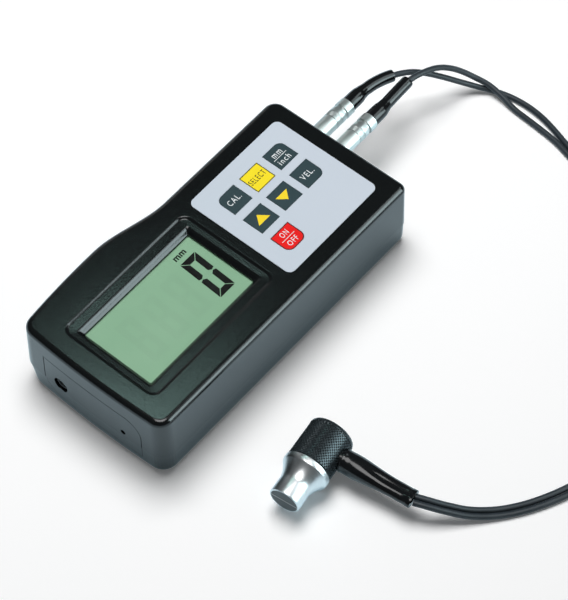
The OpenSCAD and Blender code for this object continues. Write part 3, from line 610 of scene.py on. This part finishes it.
def case_ring(inset, z):
    """Outline of the front cover, drawn in by inset, at height z."""
    near_c = case_near + near_bow + near_r
    left_c = left_wall(near_c) + near_r
    right_c = right_x - right_draw * (case_far - near_c) / (case_far - case_near) - near_r
    right_r = max(far_right_r, inset + inner_r)
    far_c = case_far - far_left_r
    points = []

    def corner(x, y, r, start):
        for k in range(13):
            angle = math.radians(start + 90 * k / 12)
            points.append(Vector((x + r * math.cos(angle), y + r * math.sin(angle), z)))

    corner(right_c, near_c, near_r - inset, -90)
    corner(right_x - right_r, case_far - right_r, right_r - inset, 0)
    corner(waist_x + far_left_r, far_c, far_left_r - inset, 90)
    for k in range(1, 60):
        y = far_c + (near_c - far_c) * k / 60
        points.append(Vector((left_wall(y) + inset, y, z)))
    corner(left_c, near_c, near_r - inset, 180)
    for k in range(1, 16):
        t = k / 16
        bow = near_bow * (2 * t - 1) ** 2
        points.append(Vector((left_c + (right_c - left_c) * t, case_near + bow + inset, z)))
    return points


cover = bmesh.new()
inner_low = first_ring(cover, case_ring(wall_low, parting))
skin = grow_ring(cover, inner_low, case_ring(parting_nick - skirt, parting))
skin = grow_ring(cover, skin, case_ring(-skirt, parting + parting_nick))
for k in range(13):
    angle = math.radians(90 * k / 12)
    rim_z = case_top - rim_r * (1 - math.sin(angle))
    skin = grow_ring(cover, skin, case_ring(rim_r * (1 - math.cos(angle)), rim_z))
inner_top = grow_ring(cover, inner_low, case_ring(wall_top, shell_under))

# Dish, ledge and rounded bevel round the display, then the frame behind them that holds the window
open_w, open_l = 36.014, 63.492
dish_w, dish_l, dish_r = open_w + 15, open_l + 12, 5.0
dish_run, dish_depth = 1.6, 0.86
dish_edge = first_ring(cover, rounded_ring(dish_w, dish_l, dish_r, case_top, display_middle))
dish = dish_edge
for k in range(1, 9):
    inset = dish_run * k / 8
    dish = grow_ring(cover, dish, rounded_ring(dish_w - 2 * inset, dish_l - 2 * inset, dish_r - inset,
                                               case_top - dish_depth * eased(k / 8), display_middle))
# Growth over the opening, corner radius and height
for grow, r, z in ((5.0, 1.5, 37.6), (4.4, 1.25, 37.55), (3.9, 1.1, 37.42), (2.9, 0.98, 37.06), (1.9, 0.84, 36.46),
                   (0.9, 0.7, 35.6), (0.25, 0.62, 35.4), (0.0, 0.6, 35.25), (0.0, 0.6, window_top)):
    dish = grow_ring(cover, dish, rounded_ring(open_w + grow, open_l + grow, r, z, display_middle))
seat_play, frame_wall, frame_r, frame_low = 0.2, 2.1, 2.0, 33.6
frame_out = seat_play + 2 * frame_wall
for grow, r, z in ((seat_play, pane_r, window_top), (seat_play, pane_r, frame_low), (frame_out, frame_r, frame_low),
                   (frame_out, frame_r, shell_under)):
    dish = grow_ring(cover, dish, rounded_ring(pane_w + grow, pane_l + grow, r, z, display_middle))
surround_foot = dish

# Seat of the keypad film, with a well for each key and a hole below it for the key's post
film_seat = 38.1
recess_w, recess_l, recess_r = 55.8, 57.61, 3.1
recess_edge = first_ring(cover, rounded_ring(recess_w, recess_l, recess_r, case_top, (0, film_y)))
recess = grow_ring(cover, recess_edge, rounded_ring(recess_w, recess_l, recess_r, film_seat, (0, film_y)))
well_w, well_l, well_z = key_w + 0.6, key_l + 0.6, 37.3
post_w, post_l, well_r = key_w - 3.2, key_l - 3.2, 0.5
wells = []
post_holes = []
key_places = {"cal": (0, 0), "select": (1, 0), "unit": (2, 0), "up": (0, 1), "down": (1, 1), "velocity": (2, 1),
              "power": (0, 2)}
for column, row in key_places.values():
    at = (key_rows[row], key_columns[column])
    well = first_ring(cover, rounded_ring(well_w, well_l, well_r, film_seat, at, 2))
    wells.append(well)
    well_floor = grow_ring(cover, well, rounded_ring(well_w, well_l, well_r, well_z, at, 2))
    hole = first_ring(cover, rounded_ring(post_w, post_l, well_r, well_z, at, 2))
    fill(cover, well_floor, hole)
    post_holes.append(grow_ring(cover, hole, rounded_ring(post_w, post_l, well_r, shell_under, at, 2)))
fill(cover, skin, dish_edge, recess_edge)
fill(cover, recess, *wells)
fill(cover, inner_top, surround_foot, *post_holes)
front_cover = settle(cover, "front_shell", case_plastic, "gauge", ["front_cover"])


def cut_away(piece, cutters):
    """Cuts closed meshes, made in millimetres, out of a piece."""
    for bm in cutters:
        bmesh.ops.recalc_face_normals(bm, faces=bm.faces)
        bmesh.ops.scale(bm, vec=(MM, MM, MM), verts=bm.verts)
        data = bpy.data.meshes.new("cutter")
        bm.to_mesh(data)
        bm.free()
        cutter = link_new("cutter", data)
        cut = piece.modifiers.new("cut", "BOOLEAN")
        cut.operation = "DIFFERENCE"
        cut.solver = "EXACT"
        cut.object = cutter
        done = bpy.data.meshes.new_from_object(piece.evaluated_get(bpy.context.evaluated_depsgraph_get()))
        piece.modifiers.remove(cut)
        piece.data = done
        bpy.data.objects.remove(cutter)
    for face in piece.data.polygons:
        face.use_smooth = True
    piece.data.set_sharp_from_angle(angle=math.radians(sharp_edge))


def leaf_prism(low_x, high_x, low_z, high_z, r, from_y, to_y):
    """Prism along Y over a leaf with two opposite corners rounded."""
    bm = bmesh.new()
    points = [Vector((high_x, from_y, low_z))]
    for cx, cz, start in ((high_x - r, high_z - r, 0), (low_x + r, low_z + r, 180)):
        for k in range(13):
            angle = math.radians(start + 90 * k / 12)
            points.append(Vector((cx + r * math.cos(angle), from_y, cz + r * math.sin(angle))))
        points.append(Vector((low_x if start == 0 else high_x, from_y, high_z if start == 0 else low_z)))
    points.pop()
    ring = first_ring(bm, points)
    far = grow_ring(bm, ring, [Vector((p.x, to_y, p.z)) for p in points])
    bm.faces.new(ring)
    bm.faces.new(far)
    return bm


def rod_along_y(x, z, d, from_y, to_y):
    bm = bmesh.new()
    bmesh.ops.create_cone(bm, cap_ends=True, segments=48, radius1=d / 2, radius2=d / 2, depth=to_y - from_y)
    bmesh.ops.rotate(bm, cent=(0, 0, 0), matrix=Matrix.Rotation(math.radians(90), 3, "X"), verts=bm.verts)
    bmesh.ops.translate(bm, vec=(x, (from_y + to_y) / 2, z), verts=bm.verts)
    return bm


# Openings for the end panel and for the two sockets
socket_xs = (-15.0, -2.4)
socket_hole_d = 7.2
plug_axis = 26.0
panel_opening = leaf_prism(low_x=-28.37, high_x=24.67, low_z=5.63, high_z=28.37, r=8.87, from_y=-98, to_y=-74.7)
socket_holes = [rod_along_y(x, plug_axis, socket_hole_d, from_y=60, to_y=98) for x in socket_xs]
cut_away(front_cover, [panel_opening] + socket_holes)
even = front_cover.modifiers.new("even_normals", "WEIGHTED_NORMAL")
even.keep_sharp = True

# Keypad: a printed polyester film, pale grey-blue, with a window for each key. The keys show flush in it: slate,
# one yellow and one red, with plain printed words for what they do.


def printed(low, high, patch=120.0, rough=0.36):
    """A printed shade with a fine tooth, drifting a little from patch to patch."""
    def paint(tone):
        tooth = tone.noise(4000.0, 2.0)
        return {"Base Color": tone.mix(tone.noise(patch, 2.0), low, high), "Roughness": rough + tooth * 0.16,
                "Normal": tone.bump(tooth, 0.08, 0.00004)}
    return paint


film_blue = printed(rgb(197, 209, 219), rgb(207, 215, 226), 14.0, 0.38)
dress(surface("film_print", {}, film_blue), "keypad_film")
dress(surface("key_slate", {}, printed(rgb(37, 57, 62), rgb(46, 67, 73))),
      "key_cal", "key_unit", "key_up", "key_down", "key_velocity")
dress(surface("key_yellow", {}, printed(rgb(250, 224, 18), rgb(255, 234, 34))), "key_select")
dress(surface("key_red", {"Specular IOR Level": 0.3}, printed(rgb(232, 12, 12), rgb(242, 24, 20))), "key_power")
ink_white = surface("ink_white", {}, printed(rgb(228, 234, 236), rgb(240, 244, 246)))
ink_dark = surface("ink_dark", {}, printed(rgb(24, 24, 22), rgb(40, 40, 36)))
ink_olive = surface("ink_olive", {}, printed(rgb(58, 52, 10), rgb(78, 70, 16)))
ink_yellow = surface("ink_yellow", {}, printed(rgb(252, 216, 20), rgb(255, 226, 44)))
key_top = 38.6
rule_half = 0.14
lettering("word_cal", "CAL.", (-14.35, 25.5), 7.1, 2.9, key_top, ink_white, "key_cal")
lettering("word_velocity", "VEL.", (0.6, 55.3), 7.0, 2.9, key_top, ink_white, "key_velocity")
lettering("word_select", "SELECT", (-14.3, 40.4), 9.3, 2.9, key_top, ink_olive, "key_select")
lettering("word_mm", "mm", (-15.8, 55.2), 5.2, 2.1, key_top, ink_white, "key_unit")
lettering("word_inch", "inch", (-11.75, 55.2), 6.6, 2.8, key_top, ink_white, "key_unit")
lettering("word_on", "ON", (12.7, 25.55), 4.1, 2.7, key_top, ink_white, "key_power")
lettering("word_off", "OFF", (17.6, 25.4), 5.5, 2.7, key_top, ink_white, "key_power")


def flat_print(name, outline, level, material, body):
    """A thin printed shape from its corners."""
    bm = bmesh.new()
    bm.faces.new([bm.verts.new((x, y, level)) for x, y in outline])
    raise_faces(bm, print_rise)
    settle(bm, name, material, body)


def bar_print(name, x, from_y, to_y, body):
    low, high = x - rule_half, x + rule_half
    flat_print(name, [(low, from_y), (high, from_y), (high, to_y), (low, to_y)], key_top, ink_white, body)


bar_print("rule_unit", -14.1, 51.3, 59.1, "key_unit")
bar_print("rule_power", 15.15, 21.6, 29.3, "key_power")
flat_print("arrow_up", [(-2.15, 25.55), (2.35, 22.0), (2.35, 29.15)], key_top, ink_yellow, "key_up")
flat_print("arrow_down", [(3.0, 40.3), (-1.25, 43.85), (-1.25, 36.75)], key_top, ink_yellow, "key_down")
border_insets = (0.02, 0.36)
round_r, square_r = 3.4, 0.4


def key_border(name, key, rounded_corners, material):
    """A thin dark line printed round a key, just inside its edge."""
    column, row = key_places[key]
    x, y = key_rows[row], key_columns[column]
    bm = bmesh.new()
    lines = []
    for inset in border_insets:
        line = []
        for sx, sy, start in ((1, -1, -90), (1, 1, 0), (-1, 1, 90), (-1, -1, 180)):
            r = (round_r if (sx, sy) in rounded_corners else square_r) - inset
            cx, cy = x + sx * (key_w / 2 - inset - r), y + sy * (key_l / 2 - inset - r)
            for k in range(9):
                angle = math.radians(start + 90 * k / 8)
                line.append(bm.verts.new((cx + r * math.cos(angle), cy + r * math.sin(angle), key_top)))
        lines.append(line)
    outer, inner = lines
    for k in range(len(outer)):
        bm.faces.new((outer[k - 1], outer[k], inner[k], inner[k - 1]))
    raise_faces(bm, print_rise)
    settle(bm, name, material, "key_" + key)


key_border("border_select", "select", (), ink_olive)
key_border("border_power", "power", ((1, -1), (1, 1)), ink_dark)

# Sockets and plugs: push-pull coaxial connectors of turned brass under dull nickel. Each plug's release sleeve
# has a smooth front, a knurled band for the fingers and a plain ring. The interface socket holds a contact ring.


def nickel_plate(tone):
    along = tone.node("SeparateXYZ", {"Vector": tone.place()}, out="Y")
    turned = tone.node("TexNoise", {"W": along, "Scale": 9000.0, "Detail": 2.0}, noise_dimensions="1D")
    cloud = tone.noise(300.0, 3.0)
    return {"Base Color": tone.mix(cloud, (0.60, 0.64, 0.63, 1), (0.72, 0.76, 0.75, 1)),
            "Roughness": 0.3 + turned * 0.12 + cloud * 0.08,
            "Normal": tone.bump(turned, 0.05, 0.00003)}


plug_nickel = surface("plug_nickel", {"Metallic": 1.0}, nickel_plate)
dress(plug_nickel, "socket_transmit", "socket_receive", "socket_nuts", "plug_transmit", "plug_receive")


def turn(bm, profile, steps):
    """Spins a closed profile of (radius, place along Y) about the Y axis, all the way round."""
    verts = [bm.verts.new((r, y, 0)) for r, y in profile]
    edges = [bm.edges.new(pair) for pair in zip(verts, verts[1:] + verts[:1])]
    bmesh.ops.spin(bm, geom=verts + edges, cent=(0, 0, 0), axis=(0, 1, 0), dvec=(0, 0, 0),
                   angle=math.radians(360), steps=steps, use_merge=True, use_duplicate=False)
    bmesh.ops.remove_doubles(bm, verts=bm.verts, dist=1e-4)


def knurl(bm, r, low, high, count, depth, pitch):
    """Presses crossed grooves into the skin of radius r between two places along Y."""
    for v in bm.verts:
        reach = math.hypot(v.co.x, v.co.z)
        if abs(reach - r) < 1e-3 and low < v.co.y < high:
            around = math.atan2(v.co.z, v.co.x) / (2 * math.pi) * count
            lift = 1.0
            along = (v.co.y - low) / pitch
            for lane in (around + along, around - along):
                lift = min(lift, 2 * abs(lane - round(lane)))
            scale = 1 - depth * (1 - lift) / r
            v.co.x *= scale
            v.co.z *= scale


sleeve_r = 4.0
band_r = 4.07
bore_r = 3.35
groove_r = 3.85
band_from, band_rows, band_row = 90.95, 16, 0.18
for side, x in zip(("transmit", "receive"), socket_xs):
    sleeve = bmesh.new()
    profile = [(bore_r, 81.2), (3.75, 81.2), (3.92, 81.35), (sleeve_r, 81.7), (sleeve_r, 90.5),
               (groove_r, 90.6), (groove_r, 90.8)]
    profile += [(band_r, band_from + band_row * k) for k in range(band_rows + 1)]
    profile += [(groove_r, 93.95), (groove_r, 94.15), (sleeve_r, 94.3), (sleeve_r, 96.5), (3.9, 96.85), (3.7, 97.0),
                (bore_r, 97.0)]
    turn(sleeve, profile, steps=144)
    knurl(sleeve, band_r, band_from, 93.8, count=36, depth=0.15, pitch=4 * band_row)
    bmesh.ops.translate(sleeve, vec=(x, 0, plug_axis), verts=sleeve.verts)
    settle(sleeve, "grip_" + side, plug_nickel, "sleeve_" + side, ["sleeve_" + side], sharp=25.0)

jack_x, jack_z = -19.0, 16.5
contact = bmesh.new()
turn(contact, [(1.74, -77.0), (1.74, -72.0), (1.4, -72.0), (1.4, -77.0)], steps=48)
bmesh.ops.translate(contact, vec=(jack_x, 0, jack_z), verts=contact.verts)
settle(contact, "jack_contact", plug_nickel, "gauge")

# Cord sleeves: glossy black tubing shrunk over the back of each plug and over the first stretch of its cord,
# with a step where it comes off the plug.


def shrunk_tubing(tone):
    ripple = tone.noise(320.0, 2.0)
    dull = tone.noise(70.0, 3.0)
    return {"Base Color": tone.mix(dull, rgb(10, 11, 13), rgb(20, 22, 24)),
            "Roughness": 0.09 + dull * 0.12,
            "Normal": tone.bump(ripple, 0.18, 0.0003)}


tubing_gloss = {"Specular IOR Level": 0.4, "Coat Weight": 0.1, "Coat Roughness": 0.08}
boot_black = surface("boot_black", tubing_gloss, shrunk_tubing)


def closed_tube(bm, rings):
    """Joins rings of points to a tube and closes its ends."""
    ring = first_ring(bm, rings[0])
    bm.faces.new(ring)
    for points in rings[1:]:
        ring = grow_ring(bm, ring, points)
    bm.faces.new(ring)


tubing_spacing = 0.7


def tubing(name, stations, replaced):
    """A tube over stations of (x, y, z, radius)."""
    path = smooth_run([station[:3] for station in stations], tubing_spacing)
    reach = [0.0]
    for a, b in zip(path, path[1:]):
        reach.append(reach[-1] + (b - a).length)
    marks = [0.0]
    for a, b in zip(stations, stations[1:]):
        marks.append(marks[-1] + (Vector(b[:3]) - Vector(a[:3])).length)
    marks = [m * reach[-1] / marks[-1] for m in marks]
    angles = [math.radians(12 * step) for step in range(30)]
    rings = []
    for i, p in enumerate(path):
        span = max(k for k in range(len(marks) - 1) if marks[k] <= reach[i] + 1e-9)
        t = eased((reach[i] - marks[span]) / (marks[span + 1] - marks[span]))
        r = stations[span][3] + (stations[span + 1][3] - stations[span][3]) * t
        run = (path[min(i + 1, len(path) - 1)] - path[max(i - 1, 0)]).normalized()
        side = run.cross(Vector((0, 0, 1))).normalized()
        rise = side.cross(run)
        rings.append([p + r * (math.cos(angle) * side + math.sin(angle) * rise) for angle in angles])
    bm = bmesh.new()
    closed_tube(bm, rings)
    return settle(bm, name, boot_black, "probe_lead", replaced, sharp=50.0)


boot_transmit = tubing(
    "tubing_transmit",
    [(-15, 102.35, 26, 3.6), (-15, 102.8, 26, 3.7), (-15, 107.2, 26, 3.7), (-15, 109.6, 26, 3.6),
     (-14.95, 111.6, 26, 3.2), (-14.7, 114, 26, 2.85), (-14, 119, 25.7, 2.85), (-12.8, 124, 25.2, 2.85),
     (-11.35, 128.2, 24.6, 2.85), (-11, 129, 24.5, 2.75)],
    ["boot_transmit"])
boot_receive = tubing(
    "tubing_receive",
    [(-2.4, 102.35, 26, 3.6), (-2.4, 102.8, 26, 3.7), (-2.4, 107.2, 26, 3.7), (-2.4, 109.6, 26, 3.6),
     (-2.5, 111.6, 26, 3.2), (-2.6, 114, 26.1, 2.85), (-2.8, 121.5, 26.3, 2.85), (-2.97, 128.7, 26.4, 2.85),
     (-3, 129.5, 26.4, 2.75)],
    ["boot_receive"])

# Coil tie: a flat black strap of hook-and-loop tape, woven nylon with a looped pile. It goes once round the coil
# and is pressed onto itself.


def strap_pile(tone):
    pile = tone.noise(2600.0, 4.0)
    return {"Base Color": tone.mix(pile, rgb(12, 13, 14), rgb(40, 42, 44)), "Roughness": 0.7 + pile * 0.25,
            "Normal": tone.bump(pile, 0.5, 0.0002)}


dress(surface("tie_black", {"Sheen Weight": 0.3}, strap_pile), "coil_tie")

# Probe: a black anodised cap with a fine diamond knurl, screwed over a turned steel nose that flares in to the
# contact face. The face is split by a thin pale barrier between the sending and the receiving half.
probe_turn = math.radians(7)
probe_place = Matrix.Translation((80.6, -41.2, 10.35)) @ Matrix.Rotation(probe_turn, 4, "Z")
probe_axis = (-math.sin(probe_turn), math.cos(probe_turn), 0.0)
cap_r = 10.1
cap_bore_r = 8.3
cap_from, cap_rows, cap_row = 0.5, 45, 0.378
cap = bmesh.new()
cap_profile = [(cap_bore_r, 0.05), (9.65, 0.05), (9.95, 0.2)]
cap_profile += [(cap_r, cap_from + cap_row * k) for k in range(cap_rows + 1)]
cap_profile += [(10.03, 18.1), (9.85, 18.6), (9.5, 19.05), (9.0, 19.35), (8.35, 19.5), (4.0, 19.52), (0.0, 19.53),
                (0.0, 17.5), (cap_bore_r, 17.5)]
turn(cap, cap_profile, steps=168)
knurl(cap, cap_r, cap_from, 17.4, count=42, depth=0.44, pitch=4 * cap_row)
bmesh.ops.transform(cap, matrix=probe_place, verts=cap.verts)
black_anodise = mottled(400.0, 3.0, rgb(42, 49, 52), rgb(66, 75, 79), 0.2, 0.14)
cap_black = surface("cap_black", {"Metallic": 0.6}, black_anodise)
settle(cap, "knurled_cap", cap_black, "probe_lead", ["probe_cap"], sharp=20.0)


def turned_steel(tone):
    along = tone.node("VectorMath", {0: tone.place(), 1: probe_axis}, out="Value", operation="DOT_PRODUCT")
    rings = tone.node("TexNoise", {"W": along, "Scale": 7000.0, "Detail": 3.0}, noise_dimensions="1D")
    return {"Base Color": tone.mix(rings, (0.66, 0.68, 0.69, 1), (0.82, 0.83, 0.84, 1)),
            "Roughness": 0.24 + rings * 0.16,
            "Normal": tone.bump(rings, 0.08, 0.00004)}


flange_r = 10.35
face_r = 6.875
nose_bore_r = 6.185
flare_out, flare_from, flare_long = 3.35, -2.5, 7.6
nose = bmesh.new()
nose_profile = [(8.15, 6.0), (8.15, 0.0), (10.15, 0.0), (flange_r, -0.2), (flange_r, -1.9), (10.27, -2.3)]
nose_profile += [(face_r + flare_out * (1 - k / 16) ** 1.75, flare_from - flare_long * k / 16) for k in range(17)]
nose_profile += [(face_r, -16.9), (6.77, -17.3), (6.57, -17.5), (nose_bore_r, -17.5), (nose_bore_r, 6.0)]
turn(nose, nose_profile, steps=96)
bmesh.ops.transform(nose, matrix=probe_place, verts=nose.verts)
nose_steel = surface("nose_steel", {"Metallic": 1.0}, turned_steel)
settle(nose, "turned_nose", nose_steel, "probe_lead", ["probe_nose"], sharp=28.0)

delay_plastic = mottled(1500.0, 3.0, rgb(70, 77, 80), rgb(92, 99, 102), 0.42, 0.2)
dress(surface("delay_grey", {}, delay_plastic), "delay_line_a", "delay_line_b")
cork_barrier = mottled(2000.0, 3.0, rgb(186, 190, 190), rgb(212, 216, 216), 0.6, 0.2)
dress(surface("barrier_pale", {}, cork_barrier), "acoustic_barrier")
fired_ceramic = mottled(1800.0, 3.0, rgb(204, 188, 146), rgb(222, 208, 170), 0.5, 0.2)
dress(surface("crystal_ceramic", {}, fired_ceramic), "crystals")
filled_epoxy = mottled(900.0, 4.0, rgb(58, 50, 44), rgb(96, 84, 74), 0.55, 0.25)
dress(surface("damping_epoxy", {}, filled_epoxy), "damping_block")

# Probe's cord sleeve: the same shrunk tubing, wide at the cap with a lip against it, drawn down over the pair of
# cords so that it goes from round to flat with a shallow crease between them, and cut off square.
sleeve_y = 11.0
crease_w = 0.3
# Place along the sleeve, half width across the pair, half height, and depth of the crease
sleeve_stations = [(8.2, 4.3, 4.3, 0.0), (10.0, 4.3, 4.3, 0.0), (10.2, 5.1, 5.1, 0.0), (11.0, 5.2, 5.2, 0.0),
                   (11.4, 4.95, 4.95, 0.0), (14.0, 5.1, 5.0, 0.0), (17.0, 5.15, 4.85, 0.02), (20.0, 4.95, 4.45, 0.05),
                   (23.0, 4.7, 3.95, 0.1), (26.0, 4.45, 3.45, 0.14), (29.0, 4.25, 3.05, 0.18), (33.0, 4.1, 2.8, 0.18),
                   (38.0, 4.1, 2.75, 0.16), (40.9, 4.1, 2.75, 0.14), (41.1, 4.25, 2.9, 0.1), (42.7, 4.25, 2.9, 0.1),
                   (43.0, 4.15, 2.8, 0.1)]
sleeve_rings = []
for x, half_w, half_h, crease in sleeve_stations:
    points = []
    for step in range(48):
        angle = math.radians(7.5 * step)
        across, rise = math.cos(angle), math.sin(angle)
        waist = 1 - crease * math.exp(-(across / crease_w) ** 2)
        points.append(Vector((x, sleeve_y + half_w * across, half_h * rise * waist)))
    sleeve_rings.append(points)
lead_sleeve = bmesh.new()
closed_tube(lead_sleeve, sleeve_rings)
bmesh.ops.transform(lead_sleeve, matrix=probe_place, verts=lead_sleeve.verts)
settle(lead_sleeve, "tubing_probe", boot_black, "probe_lead", ["probe_boot"], sharp=40.0)
